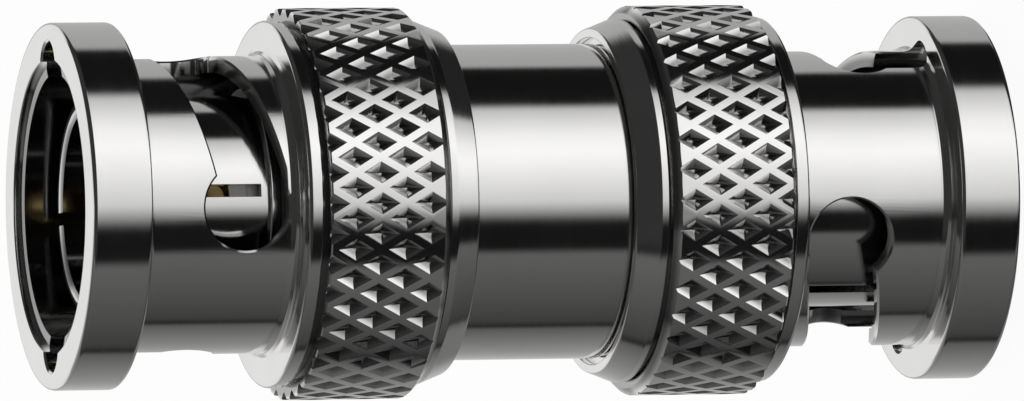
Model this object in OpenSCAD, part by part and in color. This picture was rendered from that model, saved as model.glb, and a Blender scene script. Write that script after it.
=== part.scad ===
// Coaxial bayonet adapter, plug to plug
// Two sprung coupling nuts turn on one barrel, each over a slotted outer contact.
// The adapter stands on the front face of nut B at z = 0, and nut A faces up.
// Each end is drawn in its own frame: front face of the nut at z = 0, +z into the adapter.

/* [Overall] */
// Length from one coupling nut's front face to the other's
overall_length = 35.4; // [34:0.1:48]

/* [Coupling nut] */
// Radial room between the spring fingers and the nut's bore, for the shell of the mating jack
jack_room = 0.87; // [0.8:0.01:1.1]
// Wall of the slotted sleeve
sleeve_wall = 0.6; // [0.5:0.05:0.8]
// Length of the sleeve between the front flange and the shoulder
sleeve_len = 5.85; // [5.6:0.05:7]
// Width of the front flange
flange_w = 2.28; // [1.8:0.02:3]
// Height of the front flange above the sleeve
flange_rise = 1.28; // [1.1:0.02:1.6]
// Radial step from the bore to the counterbore of the mouth
mouth_step = 0.55; // [0.3:0.05:0.7]
// Depth of the counterbore of the mouth
mouth_depth = 0.24; // [0.1:0.02:0.4]
// Diameter of the cavity behind the bore, which holds the collar and the springs
cavity_d = 12.4; // [12:0.1:13.5]
// Wall between the shoulder's front face and the cavity
cavity_web = 0.65; // [0.4:0.05:1]
// Wall between the cavity and the bottom of the grooves beside the knurl
groove_wall = 0.3; // [0.2:0.05:0.6]
// Width of the groove in front of the knurl
groove_w = 0.2; // [0.05:0.05:0.4]
// Width of the groove behind the knurl
rear_groove_w = 0.1; // [0.05:0.05:0.4]
// Height of the shoulder's rim above the grooves
rim_rise = 0.3; // [0.1:0.05:0.6]
// Width of the shoulder's rim
rim_w = 0.55; // [0.4:0.05:1.2]
// Height of the knurl above the grooves
knurl_rise = 0.75; // [0.55:0.05:1]
// Height of the tail behind the knurl above the grooves
tail_rise = 0.25; // [0.1:0.05:0.5]
// Length of the tail
tail_w = 1.17; // [1:0.01:2]
// Length of the tail's straight part, before its taper
tail_straight = 0.27; // [0.2:0.01:0.9]
// Radial fall of the tail's taper
tail_fall = 0.35; // [0.1:0.05:0.4]
// Length of the lip that is rolled in behind the retaining ring
lip_w = 0.25; // [0.15:0.05:0.5]
// How far the lip is rolled in
lip_roll = 0.12; // [0.05:0.01:0.2]
// Chamfer on the turned edges
edge = 0.15; // [0.05:0.05:0.25]
// Fillet at both ends of the sleeve
sleeve_fillet = 0.35; // [0.1:0.05:0.5]

/* [Knurl] */
// Pits in one row round the nut
knurl_count = 40; // [24:2:60]
// Pitch of the pits along the axis
knurl_pitch = 1.9; // [1.6:0.05:2.4]
// Width of the flat ridges between the pits
knurl_land = 0.2; // [0.1:0.02:0.4]
// Depth of the pits
knurl_depth = 0.35; // [0.15:0.05:0.5]

/* [Bayonet] */
// Width of the entry notch for the jack's lug
notch_d = 2.2; // [2:0.05:2.6]
// How far the notch's middle lies outside the bore
notch_out = 0.1; // [0:0.05:0.3]
// Width of the helical slot along the axis
slot_w = 2.62; // [2.3:0.02:2.8]
// How far the slot climbs over the whole turn
slot_rise = 1.78; // [1.4:0.02:2]
// Diameter of the detent hole at the slot's end
detent_d = 3.2; // [2.9:0.05:3.4]
// Turn from the entry notch to the detent hole
detent_turn = 91; // [80:1:96]
// Distance from the shoulder back to the middle of the detent hole
detent_back = 1.98; // [1.8:0.02:2.4]
// Distance along the axis from the slot's start to the detent hole
detent_rise = 1.34; // [1:0.02:1.6]

/* [Outer contact] */
// Outer diameter of the spring fingers
contact_d = 8.06; // [7.9:0.02:8.2]
// Wall of the spring fingers
contact_wall = 0.58; // [0.4:0.02:0.7]
// Distance of the fingers' tips behind the nut's front face
contact_recess = 1.3; // [0.8:0.05:2]
// Number of slits between the fingers
slit_count = 4; // [2:1:6]
// Width of each slit
slit_w = 0.48; // [0.3:0.02:0.7]
// Length of each slit from the tip
slit_len = 5.75; // [4:0.05:5.9]
// Rounding chamfer on the fingers' tips
tip_edge = 0.14; // [0.1:0.02:0.3]
// Step of the gasket's seat above the fingers
seat_rise = 0.27; // [0.15:0.01:0.35]
// Length of the gasket's seat
seat_len = 1.5; // [1.2:0.05:2]
// Thickness of the collar that the nut pulls on
collar_w = 1.3; // [1:0.05:1.6]
// Wall of the spigot that is pressed into the barrel
spigot_wall = 0.6; // [0.4:0.05:0.8]

/* [Barrel] */
// Radial gap between the barrel and the nuts' cavities
barrel_gap = 0.35; // [0.25:0.05:0.6]
// Width of the land in the barrel between the two spigots
land_w = 1.6; // [1:0.1:2.4]

/* [Centre pin and insulators] */
// Diameter of the pin where it enters the jack
pin_d = 1.35; // [1.3:0.01:1.4]
// Length of the pin outside the insulator
pin_reach = 5; // [4.5:0.05:5.3]
// Diameter of the pin inside the insulators
pin_core_d = 2.1; // [1.8:0.05:2.4]
// Diameter of the collar that holds the pin between the insulators
pin_collar_d = 3.2; // [2.8:0.1:4]
// Width of that collar
pin_collar_w = 1; // [0.6:0.1:1.6]
// Distance of the insulator's face behind the fingers' tips
insulator_depth = 5.3; // [5:0.05:5.6]
// Radial step that holds the insulator behind the fingers
insulator_step = 0.35; // [0.2:0.05:0.5]

/* [Gasket, springs and rings] */
// Thickness of the gasket
gasket_t = 1; // [0.7:0.05:1.2]
// Thickness of each wave washer's sheet
wave_t = 0.25; // [0.15:0.01:0.35]
// Number of waves in each wave washer
wave_count = 3; // [2:1:5]
// Radial width of the springs and washers
washer_w = 0.95; // [0.7:0.05:1.2]
// Thickness of the thrust washer
thrust_t = 0.4; // [0.3:0.05:0.6]
// Width of the retaining ring
ring_w = 1.2; // [0.8:0.05:1.5]

/* [Clearances] */
// Radial clearance of a piece that is fixed in another
seat_gap = 0.03; // [0.01:0.01:0.05]
// Radial clearance of a piece that turns or slides in another
run_gap = 0.15; // [0.1:0.01:0.2]
// Gap between the stacked faces of the springs and washers
face_gap = 0.02; // [0.01:0.01:0.05]
// Gap between the nut's step and the collar, and between the ring and the barrel
stop_gap = 0.06; // [0.03:0.01:0.1]

/* [Rest angles] */
// Turn of nut A's entry notch
nut_turn_a = 0; // [0:1:180]
// Turn of nut B's entry notch
nut_turn_b = -18; // [-90:1:90]
// Turn of the spring fingers' middles in outer contact A
finger_turn_a = 37.5; // [0:0.5:90]
// Turn of the spring fingers' middles in outer contact B
finger_turn_b = 78; // [0:0.5:90]

/* [Hidden] */
$fn = 96;

// Cutters and joined shapes reach this far past the faces they meet
past = 0.5;

// Radii of the coupling nut, whose bore follows the spring fingers
contact_r = contact_d / 2;
bore_r = contact_r + jack_room;
sleeve_r = bore_r + sleeve_wall;
flange_r = sleeve_r + flange_rise;
mouth_r = bore_r + mouth_step;
cavity_r = cavity_d / 2;
groove_r = cavity_r + groove_wall;
rim_r = groove_r + rim_rise;
knurl_r = groove_r + knurl_rise;
tail_r = groove_r + tail_rise;
lip_r = cavity_r - lip_roll;

// Places along the coupling nut, from its front face
rim_at = flange_w + sleeve_len;
rim_end = rim_at + rim_w;
knurl_at = rim_end + groove_w;
knurl_half = knurl_pitch / 2;
knurl_rows = 4;
// The last row of pits is whole: the knurl runs on past its middle by this share of a half pitch
knurl_run_on = 0.8;
knurl_w = knurl_half * (knurl_rows + knurl_run_on);
tail_at = knurl_at + knurl_w + rear_groove_w;
nut_len = tail_at + tail_w;
cavity_at = rim_at + cavity_web;
lip_at = nut_len - lip_w;

// The knurl's ring is sunk into the nut by half of the groove's wall
knurl_root_r = groove_r - groove_wall / 2;

// Bayonet
detent_at = rim_at - detent_back;
slot_at = detent_at - detent_rise;
// The cutter of the slot is as wide as the slot is across its slope at the sleeve
slot_slope = atan(slot_rise / (2 * PI * sleeve_r * detent_turn / 360));
slot_cutter_d = slot_w * cos(slot_slope);
// The slot stops inside the detent hole, short of its middle by some degrees and of its rear edge by a hair
slot_stop_short = 3;
slot_edge_short = 0.06;
slot_stop = detent_turn - slot_stop_short;
slot_rear_limit = detent_at + detent_d / 2 - slot_edge_short;
slot_steps = 20;

// Radii of the outer contact
contact_bore_r = contact_r - contact_wall;
seat_r = contact_r + seat_rise;
collar_r = cavity_r - run_gap;
// Springs and washers run between the cavity and the neck, so the neck follows from both
washer_out_r = cavity_r - run_gap;
washer_in_r = washer_out_r - washer_w;
neck_r = washer_in_r - run_gap;
core_r = contact_bore_r + insulator_step;
spigot_r = core_r + spigot_wall;

// Places along one end, from the nut's front face
collar_at = cavity_at + stop_gap;
collar_end = collar_at + collar_w;
ring_end = lip_at - face_gap;
ring_at = ring_end - ring_w;
thrust_end = ring_at - face_gap;
thrust_at = thrust_end - thrust_t;
barrel_at = ring_end + stop_gap;
barrel_len = overall_length - 2 * barrel_at;
barrel_r = cavity_r - barrel_gap;
spigot_len = (barrel_len - land_w) / 2 - face_gap;
middle = overall_length / 2;

// Each wave washer fills half of the room between the collar and the thrust washer
wave_room = thrust_at - collar_end;
wave_h = (wave_room - 3 * face_gap) / 2;
wave_front_at = collar_end + face_gap;
wave_rear_at = wave_front_at + wave_h + face_gap;
wave_steps = 36;

// Centre pin and insulators
insulator_at = contact_recess + insulator_depth;
insulator_step_at = collar_at + collar_w / 4;
pin_at = insulator_at - pin_reach;
// The tip is a cone twice as long as it narrows
pin_tip = pin_d / 4;

function polar(r, turn, z) = [r * cos(turn), r * sin(turn), z];

// A four-sided face as two triangles
function quad(a, b, c, d) = [[a, b, c], [a, c, d]];

// A fillet in the corner of a profile, on the side where r and z grow
module corner_fillet(size) {
  difference() {
    translate([-size, -size]) square(2 * size);
    translate([size, size]) circle(r = size);
  }
}

module ring(inner_r, outer_r, from, to) {
  rotate_extrude() translate([inner_r, from]) square([outer_r - inner_r, to - from]);
}

// Places a piece of one end: end B as drawn, end A turned over onto the top
module end_a(turn = 0) {
  translate([0, 0, overall_length]) rotate([180, 0, 0]) rotate([0, 0, turn]) children();
}
module end_b(turn = 0) {
  rotate([0, 0, turn]) children();
}

// Turned body of a coupling nut, before its knurl and its bayonet slots
module nut_blank() {
  rotate_extrude() {
    polygon([
      [mouth_r, 0], [flange_r - edge, 0], [flange_r, edge],
      [flange_r, flange_w - edge], [flange_r - edge, flange_w],
      [sleeve_r, flange_w], [sleeve_r, rim_at],
      [rim_r - edge, rim_at], [rim_r, rim_at + edge], [rim_r, rim_end],
      [groove_r, rim_end], [groove_r, tail_at],
      [tail_r, tail_at], [tail_r, tail_at + tail_straight], [tail_r - tail_fall, nut_len],
      [lip_r, nut_len], [lip_r, lip_at], [cavity_r, lip_at],
      [cavity_r, cavity_at], [bore_r, cavity_at],
      [bore_r, mouth_depth], [mouth_r, mouth_depth]
    ]);
    translate([sleeve_r, flange_w]) corner_fillet(sleeve_fillet);
    translate([sleeve_r, rim_at]) mirror([0, 1]) corner_fillet(sleeve_fillet);
  }
}

// Cross knurl: rows of four-sided pits in a net of flat ridges.
// Row 0 is cut in half by the front edge, and the other rows are whole.
// Each pit has five points: front, rear, ahead, behind and bottom, where ahead is the way the angle grows.
module knurl() {
  pitch_turn = 360 / knurl_count;
  pitch_arc = 2 * PI * knurl_r / knurl_count;
  // Share of a cell that its pit takes, once half a ridge is off each side
  cell_depth = knurl_half * pitch_arc / 2 / norm([knurl_half, pitch_arc / 2]);
  share = 1 - knurl_land / 2 / cell_depth;
  reach = knurl_half * share;
  half_turn = pitch_turn / 2 * share;
  bottom_r = knurl_r - knurl_depth;

  function cell_turn(row, k) = pitch_turn * (k + (row % 2) / 2);
  function cell_points(row, k) = let (t = cell_turn(row, k), z = knurl_half * row) [
    row == 0 ? polar(knurl_root_r, t, 0) : polar(knurl_r, t, z - reach),
    polar(knurl_r, t, z + reach),
    polar(knurl_r, t + half_turn, z),
    polar(knurl_r, t - half_turn, z),
    polar(bottom_r, t, z)
  ];
  function end_points(k) = let (t = cell_turn(knurl_rows, k)) [
    polar(knurl_r, t, knurl_w),
    polar(knurl_r, t + pitch_turn / 2, knurl_w),
    polar(knurl_root_r, t, knurl_w)
  ];

  // Numbers of a cell's points, and of the points on the rear edge
  function wrap(k) = (k + knurl_count) % knurl_count;
  function cell(row, k) = 5 * (row * knurl_count + wrap(k));
  function front(row, k) = cell(row, k);
  function rear(row, k) = cell(row, k) + 1;
  function ahead(row, k) = cell(row, k) + 2;
  function behind(row, k) = cell(row, k) + 3;
  function bottom(row, k) = cell(row, k) + 4;
  function rim(k) = cell(knurl_rows + 1, 0) + 3 * wrap(k);
  function rim_half(k) = rim(k) + 1;
  function root(k) = rim(k) + 2;
  // The cells of the next and the last row that lie ahead of and behind a cell
  function next_ahead(row, k) = row % 2 == 0 ? k : k + 1;
  function next_behind(row, k) = next_ahead(row, k) - 1;

  function pit(row, k) = concat(
    [[rear(row, k), ahead(row, k), bottom(row, k)], [behind(row, k), rear(row, k), bottom(row, k)]],
    row == 0 ? [] : [
      [ahead(row, k), front(row, k), bottom(row, k)], [front(row, k), behind(row, k), bottom(row, k)]
    ]
  );
  // The two ridges between a cell and the next row
  function ridges(row, k) = row == knurl_rows ? [] : let (
    n = row + 1,
    a = next_ahead(row, k),
    b = next_behind(row, k)
  ) concat(
    quad(rear(row, k), behind(n, a), front(n, a), ahead(row, k)),
    quad(behind(row, k), front(n, b), ahead(n, b), rear(row, k))
  );
  // The flat where the ridges cross, between a cell and the one ahead of it
  function crossing(row, k) = let (m = next_ahead(row, k))
    row == 0 ? [[front(1, m), behind(0, k + 1), ahead(0, k)]]
    : row < knurl_rows ? quad(front(row + 1, m), behind(row, k + 1), rear(row - 1, m), ahead(row, k))
    : [
      [ahead(row, k), behind(row, k + 1), rear(row - 1, m)],
      [ahead(row, k), rim_half(k), behind(row, k + 1)],
      [behind(row, k + 1), rim_half(k), rear(row, k + 1)],
      [rear(row, k + 1), rim_half(k), rim(k + 1)],
      [ahead(row, k), rear(row, k), rim_half(k)],
      [rear(row, k), rim(k), rim_half(k)]
    ];
  // The two end faces and the hidden inner wall
  function ends(k) = concat(
    [
      [front(0, k), behind(0, k), bottom(0, k)], [front(0, k), bottom(0, k), ahead(0, k)],
      [front(0, k), ahead(0, k), behind(0, k + 1)], [front(0, k), behind(0, k + 1), front(0, k + 1)],
      [root(k), rim_half(k), rim(k)], [root(k), root(k + 1), rim_half(k)],
      [root(k + 1), rim(k + 1), rim_half(k)]
    ],
    quad(front(0, k), front(0, k + 1), root(k + 1), root(k))
  );

  points = concat(
    [for (row = [0:knurl_rows], k = [0:knurl_count - 1]) each cell_points(row, k)],
    [for (k = [0:knurl_count - 1]) each end_points(k)]
  );
  faces = [
    for (k = [0:knurl_count - 1]) each concat(
      [for (row = [0:knurl_rows]) each concat(pit(row, k), ridges(row, k), crossing(row, k))],
      ends(k)
    )
  ];
  translate([0, 0, knurl_at]) polyhedron(points, faces, convexity = 10);
}

// One helical slot, as wide along the axis as slot_w, cut through the sleeve
module bayonet_slot() {
  inner_r = bore_r - past;
  outer_r = sleeve_r + past;
  function slot_middle(turn) = slot_at + slot_rise * turn / detent_turn;
  function section(turn) = let (
    near = slot_middle(turn) - slot_w / 2,
    far = min(slot_middle(turn) + slot_w / 2, slot_rear_limit)
  ) [
    polar(inner_r, turn, near), polar(outer_r, turn, near),
    polar(outer_r, turn, far), polar(inner_r, turn, far)
  ];
  function point(i, k) = 4 * i + k % 4;
  function wall(i, k) = quad(point(i, k), point(i, k + 1), point(i + 1, k + 1), point(i + 1, k));

  turns = [for (i = [0:slot_steps]) slot_stop * i / slot_steps];
  last = 4 * slot_steps;
  polyhedron(
    [for (turn = turns) each section(turn)],
    concat(
      quad(3, 2, 1, 0),
      [for (i = [0:slot_steps - 1], k = [0:3]) each wall(i, k)],
      quad(last, last + 1, last + 2, last + 3)
    ),
    convexity = 4
  );
}

// A round hole through the sleeve
module sleeve_hole(width, turn, at) {
  rotate([0, 0, turn]) translate([bore_r - past, 0, at])
    rotate([0, 90, 0]) cylinder(d = width, h = sleeve_wall + 2 * past);
}

// Entry notch, helical slot with its round start, and detent hole of one lug
module bayonet_cut() {
  translate([bore_r + notch_out, 0, -past]) cylinder(d = notch_d, h = slot_at + past);
  sleeve_hole(slot_cutter_d, 0, slot_at);
  bayonet_slot();
  sleeve_hole(detent_d, detent_turn, detent_at);
}

module coupling_nut() {
  color("silver") difference() {
    union() {
      nut_blank();
      knurl();
    }
    for (lug = [0, 180]) rotate([0, 0, lug]) bayonet_cut();
  }
}

// Ring behind the springs, trapped by the nut's rolled lip
module retaining_ring() {
  color("lightgray") ring(washer_in_r, cavity_r - seat_gap, ring_at, ring_end);
}

module thrust_washer() {
  color("gainsboro") ring(washer_in_r, washer_out_r, thrust_at, thrust_end);
}

// A wave washer between two heights; the phase puts its crests at other angles
module wave_washer(from, phase) {
  swing = (wave_h - wave_t) / 2;
  function height(turn) = from + swing * (1 + cos(wave_count * turn + phase));
  function section(turn) = let (low = height(turn), high = low + wave_t) [
    polar(washer_in_r, turn, low), polar(washer_out_r, turn, low),
    polar(washer_out_r, turn, high), polar(washer_in_r, turn, high)
  ];
  function point(i, k) = 4 * (i % wave_steps) + k % 4;
  color("slategray") polyhedron(
    [for (i = [0:wave_steps - 1]) each section(360 * i / wave_steps)],
    [
      for (i = [0:wave_steps - 1], k = [0:3])
        each quad(point(i, k), point(i, k + 1), point(i + 1, k + 1), point(i + 1, k))
    ],
    convexity = 6
  );
}

// The crests of the front washer meet the troughs of the rear one
module wave_washer_front() wave_washer(wave_front_at, 0);
module wave_washer_rear() wave_washer(wave_rear_at, 180);

// Sealing ring that the end of the jack's shell presses on
module gasket() {
  color("dimgray") ring(seat_r + seat_gap, bore_r - run_gap, collar_at - gasket_t, collar_at);
}

// Slotted spring fingers, gasket seat, collar, neck and spigot, turned as one piece.
// The slits lie midway between the fingers' middles.
module outer_contact() {
  color("lightsteelblue") difference() {
    rotate_extrude() polygon([
      [contact_bore_r + tip_edge / 2, contact_recess], [contact_r - tip_edge, contact_recess],
      [contact_r, contact_recess + tip_edge], [contact_r, collar_at - seat_len],
      [seat_r, collar_at - seat_len], [seat_r, collar_at],
      [collar_r, collar_at], [collar_r, collar_end],
      [neck_r, collar_end], [neck_r, barrel_at], [spigot_r, barrel_at],
      [spigot_r, barrel_at + spigot_len], [core_r, barrel_at + spigot_len],
      [core_r, insulator_step_at], [contact_bore_r, insulator_step_at],
      [contact_bore_r, contact_recess + tip_edge / 2]
    ]);
    for (k = [0:slit_count - 1]) rotate([0, 0, 360 / slit_count * (k + 0.5)])
      translate([contact_bore_r - past, -slit_w / 2, contact_recess - past])
        cube([contact_wall + 2 * past, slit_w, slit_len + past]);
  }
}

// Insulator of one end, stepped behind the fingers and drilled for the pin
module insulator() {
  drill_r = pin_core_d / 2 + seat_gap;
  pocket_r = pin_collar_d / 2 + seat_gap;
  pocket_at = middle - pin_collar_w / 2 - face_gap;
  color("whitesmoke") rotate_extrude() polygon([
    [drill_r, insulator_at], [contact_bore_r - seat_gap, insulator_at],
    [contact_bore_r - seat_gap, insulator_step_at + face_gap],
    [core_r - seat_gap, insulator_step_at + face_gap], [core_r - seat_gap, middle],
    [pocket_r, middle], [pocket_r, pocket_at], [drill_r, pocket_at]
  ]);
}

// Half of the double-ended pin, from its tip to the middle of its collar
module pin_half() {
  rotate_extrude() polygon([
    [0, pin_at], [pin_d / 2 - pin_tip, pin_at], [pin_d / 2, pin_at + 2 * pin_tip],
    [pin_d / 2, insulator_at], [pin_core_d / 2, insulator_at],
    [pin_core_d / 2, middle - pin_collar_w / 2], [pin_collar_d / 2, middle - pin_collar_w / 2],
    [pin_collar_d / 2, middle], [0, middle]
  ]);
}

module centre_pin() {
  color("goldenrod") union() {
    end_a() pin_half();
    end_b() pin_half();
  }
}

// Plain sleeve between the nuts; both outer contacts are pressed into it
module barrel() {
  far = overall_length - barrel_at;
  socket_r = spigot_r + seat_gap;
  land_at = middle - land_w / 2;
  land_end = middle + land_w / 2;
  color("silver") rotate_extrude() polygon([
    [socket_r, barrel_at], [barrel_r - edge, barrel_at], [barrel_r, barrel_at + edge],
    [barrel_r, far - edge], [barrel_r - edge, far], [socket_r, far],
    [socket_r, land_end], [core_r, land_end], [core_r, land_at], [socket_r, land_at]
  ]);
}

barrel();
centre_pin();
end_a(nut_turn_a) coupling_nut();  // coupling_nut_a
end_b(nut_turn_b) coupling_nut();  // coupling_nut_b
end_a() retaining_ring();  // retaining_ring_a
end_b() retaining_ring();  // retaining_ring_b
end_a() thrust_washer();  // thrust_washer_a
end_b() thrust_washer();  // thrust_washer_b
end_a() wave_washer_rear();  // wave_washer_rear_a
end_b() wave_washer_rear();  // wave_washer_rear_b
end_a() wave_washer_front();  // wave_washer_front_a
end_b() wave_washer_front();  // wave_washer_front_b
end_a() gasket();  // gasket_a
end_b() gasket();  // gasket_b
end_a(finger_turn_a) outer_contact();  // outer_contact_a
end_b(finger_turn_b) outer_contact();  // outer_contact_b
end_a() insulator();  // insulator_a
end_b() insulator();  // insulator_b
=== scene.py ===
"""Coaxial bayonet adapter, plug to plug: its turned pieces, its finishes, the studio and the camera.

Shapes are drawn in millimetres, each end in its own frame: the nut's front face lies at depth 0, and depth
grows into the adapter. Finished meshes are in metres and in the frame's own axes.
"""
import logging
import math
from dataclasses import dataclass, replace
from enum import Enum
from typing import Any, Sequence

import bmesh
import bpy
from mathutils import Matrix, Vector


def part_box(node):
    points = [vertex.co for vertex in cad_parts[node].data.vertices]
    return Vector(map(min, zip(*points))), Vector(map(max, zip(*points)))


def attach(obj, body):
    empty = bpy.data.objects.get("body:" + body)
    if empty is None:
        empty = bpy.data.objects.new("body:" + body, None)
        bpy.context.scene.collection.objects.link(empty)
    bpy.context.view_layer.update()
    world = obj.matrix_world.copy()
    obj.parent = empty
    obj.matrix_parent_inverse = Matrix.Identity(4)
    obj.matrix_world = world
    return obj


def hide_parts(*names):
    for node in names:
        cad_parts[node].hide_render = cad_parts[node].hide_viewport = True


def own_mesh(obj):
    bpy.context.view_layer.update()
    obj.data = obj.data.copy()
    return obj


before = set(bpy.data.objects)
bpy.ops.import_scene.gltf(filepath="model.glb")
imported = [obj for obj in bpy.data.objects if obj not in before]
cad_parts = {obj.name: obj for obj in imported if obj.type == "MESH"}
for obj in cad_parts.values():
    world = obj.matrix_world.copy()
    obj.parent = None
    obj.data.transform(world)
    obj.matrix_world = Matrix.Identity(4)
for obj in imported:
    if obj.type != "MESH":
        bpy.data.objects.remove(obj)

log = logging.getLogger("adapter")

MM = 0.001
NOISE_MEAN = 0.5


class End(Enum):
    """The two ends of the adapter."""

    A = "a"
    B = "b"


class Slot(Enum):
    """The record's material slots."""

    NICKEL = "nickel_plate"
    CONTACT = "contact_plate"
    SPRING = "spring_steel"
    INSULATOR = "insulator_white"
    GASKET = "gasket_rubber"
    PIN = "pin_gold"


class Carving(Enum):
    """How a tool changes the shape that it meets."""

    JOIN = "UNION"
    CUT = "DIFFERENCE"
    COMMON = "INTERSECT"


Colour = tuple[float, float, float]
Fade = tuple[float, float]


def grey(level: float) -> tuple[float, float, float, float]:
    """A neutral colour of this level."""
    return (level, level, level, 1.0)


@dataclass(frozen=True)
class Wire:
    """A node's output socket, with Python's operators for maths on values."""

    board: "Board"
    socket: bpy.types.NodeSocket | None

    def _math(self, operation: str, *operands: Any) -> "Wire":
        """Result of a Math node on wires or numbers, in the node's order."""
        return self.board.node("ShaderNodeMath", dict(enumerate(operands)), operation=operation)

    def __add__(self, other: Any) -> "Wire":
        """Sum."""
        return self._math("ADD", self, other)

    def __radd__(self, other: Any) -> "Wire":
        """Sum, with the number first."""
        return self._math("ADD", other, self)

    def __sub__(self, other: Any) -> "Wire":
        """Difference."""
        return self._math("SUBTRACT", self, other)

    def __rsub__(self, other: Any) -> "Wire":
        """Difference, with the number first."""
        return self._math("SUBTRACT", other, self)

    def __mul__(self, other: Any) -> "Wire":
        """Product."""
        return self._math("MULTIPLY", self, other)

    def __pow__(self, other: Any) -> "Wire":
        """Power."""
        return self._math("POWER", self, other)

    def __abs__(self) -> "Wire":
        """Size without the sign."""
        return self._math("ABSOLUTE", self)

    def turn_to(self, other: "Wire") -> "Wire":
        """Angle whose tangent is this value over the other, in radians."""
        return self._math("ARCTAN2", self, other)

    def step(self, start: float, end: float) -> "Wire":
        """Smooth climb from 0 at start to 1 at end."""
        return self.board.node(
            "ShaderNodeMapRange",
            {"Value": self, "From Min": start, "From Max": end, "To Min": 0.0, "To Max": 1.0},
            interpolation_type="SMOOTHSTEP",
        )

    def towards(self, goal: Any, share: "Wire") -> "Wire":
        """This value, brought towards a goal by a share."""
        return self + (goal - self) * share


class Board:
    """A node tree that is being wired."""

    def __init__(self, tree: bpy.types.NodeTree) -> None:
        """Starts with an empty tree."""
        self.tree = tree
        tree.nodes.clear()

    def node(
        self,
        kind: str,
        sockets: dict[Any, Any] | None = None,
        output: Any = 0,
        stops: Sequence[tuple[float, Any]] = (),
        **settings: Any,
    ) -> Wire:
        """Adds a node.

        Args:
            kind: The node's type.
            sockets: Values or wires of its inputs, by name or number.
            output: The name or number of the output that is wanted.
            stops: Places and colours of a colour ramp.
            settings: The node's own settings, which are set first.

        Returns:
            The wanted output, or a wire without a socket where the node has none.
        """
        made = self.tree.nodes.new(kind)
        for name, value in settings.items():
            setattr(made, name, value)
        for number, (place, colour) in enumerate(stops):
            ramp = made.color_ramp.elements
            stop = ramp[number] if number < len(ramp) else ramp.new(place)
            stop.position = place
            stop.color = colour
        for name, value in (sockets or {}).items():
            if isinstance(value, Wire):
                self.tree.links.new(value.socket, made.inputs[name])
            else:
                made.inputs[name].default_value = value
        return Wire(self, made.outputs[output] if made.outputs else None)

    def axes(self, source: Wire) -> tuple[Wire, Wire, Wire]:
        """The three parts of a vector."""
        split = self.node("ShaderNodeSeparateXYZ", {0: source}).socket.node
        return tuple(Wire(self, part) for part in split.outputs)

    def millimetres(self) -> tuple[Wire, Wire, Wire]:
        """The place on the piece, in millimetres."""
        place = self.node("ShaderNodeTexCoord", output="Object")
        scaled = self.node("ShaderNodeVectorMath", {0: place, "Scale": 1 / MM}, operation="SCALE")
        return self.axes(scaled)

    def noise(self, x: Wire, y: Wire, z: Wire, detail: float) -> Wire:
        """Noise from 0 to 1 at a place that is given in grains, with some finer layers."""
        place = self.node("ShaderNodeCombineXYZ", {0: x, 1: y, 2: z})
        return self.node("ShaderNodeTexNoise", {"Vector": place, "Scale": 1.0, "Detail": detail})

    def speckle(self, place: Sequence[Wire], per_mm: float, detail: float) -> Wire:
        """Noise with the same grain along all three axes."""
        return self.noise(*(part * per_mm for part in place), detail)

    def bump(self, height: Wire, size: float) -> Wire:
        """Normal of a surface whose relief has this size, in millimetres."""
        return self.node("ShaderNodeBump", {"Strength": 1.0, "Distance": size * MM, "Height": height})

    def blend(self, share: Wire, low: Any, high: Any) -> Wire:
        """Colour between two colours, each a wire or four numbers."""
        sockets = {"Factor": share, "A": low, "B": high}
        return self.node("ShaderNodeMix", sockets, output="Result", data_type="RGBA")


class Finish:
    """Base of the finishes: each makes its material once."""

    name: str

    def wire(self, board: Board) -> dict[str, Any]:
        """Values and wires of the Principled shader's inputs."""
        raise NotImplementedError

    def material(self) -> bpy.types.Material:
        """The finish as a material."""
        known = bpy.data.materials.get(self.name)
        if known is not None:
            return known
        made = bpy.data.materials.new(self.name)
        made.use_nodes = True
        board = Board(made.node_tree)
        shader = board.node("ShaderNodeBsdfPrincipled", self.wire(board), output="BSDF")
        board.node("ShaderNodeOutputMaterial", {"Surface": shader})
        return made


@dataclass(frozen=True)
class PaintedShade:
    """Painted shade in the pits and grooves of the knurls: it darkens them and makes them a little rougher.

    Heights along the axis are measured from the adapter's middle, so that one mask of painted shade serves
    both ends.
    """

    middle: float
    near: float
    far: float
    crest: float
    depth: float
    darkness: float = 0.58
    dullness: float = 0.02
    end_fade: float = 0.05
    crest_fade: float = 0.02
    full_share: float = 0.6

    def mask(self, radius: Wire, height: Wire) -> Wire:
        """How strong the painted shade is, from 0 to 1, at a distance from the axis and a height along it."""
        away = abs(height - self.middle)
        starts = away.step(self.near, self.near + self.end_fade)
        ends = away.step(self.far, self.far - self.end_fade)
        deep = radius.step(self.crest - self.crest_fade, self.crest - self.depth * self.full_share)
        return starts * ends * deep


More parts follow.
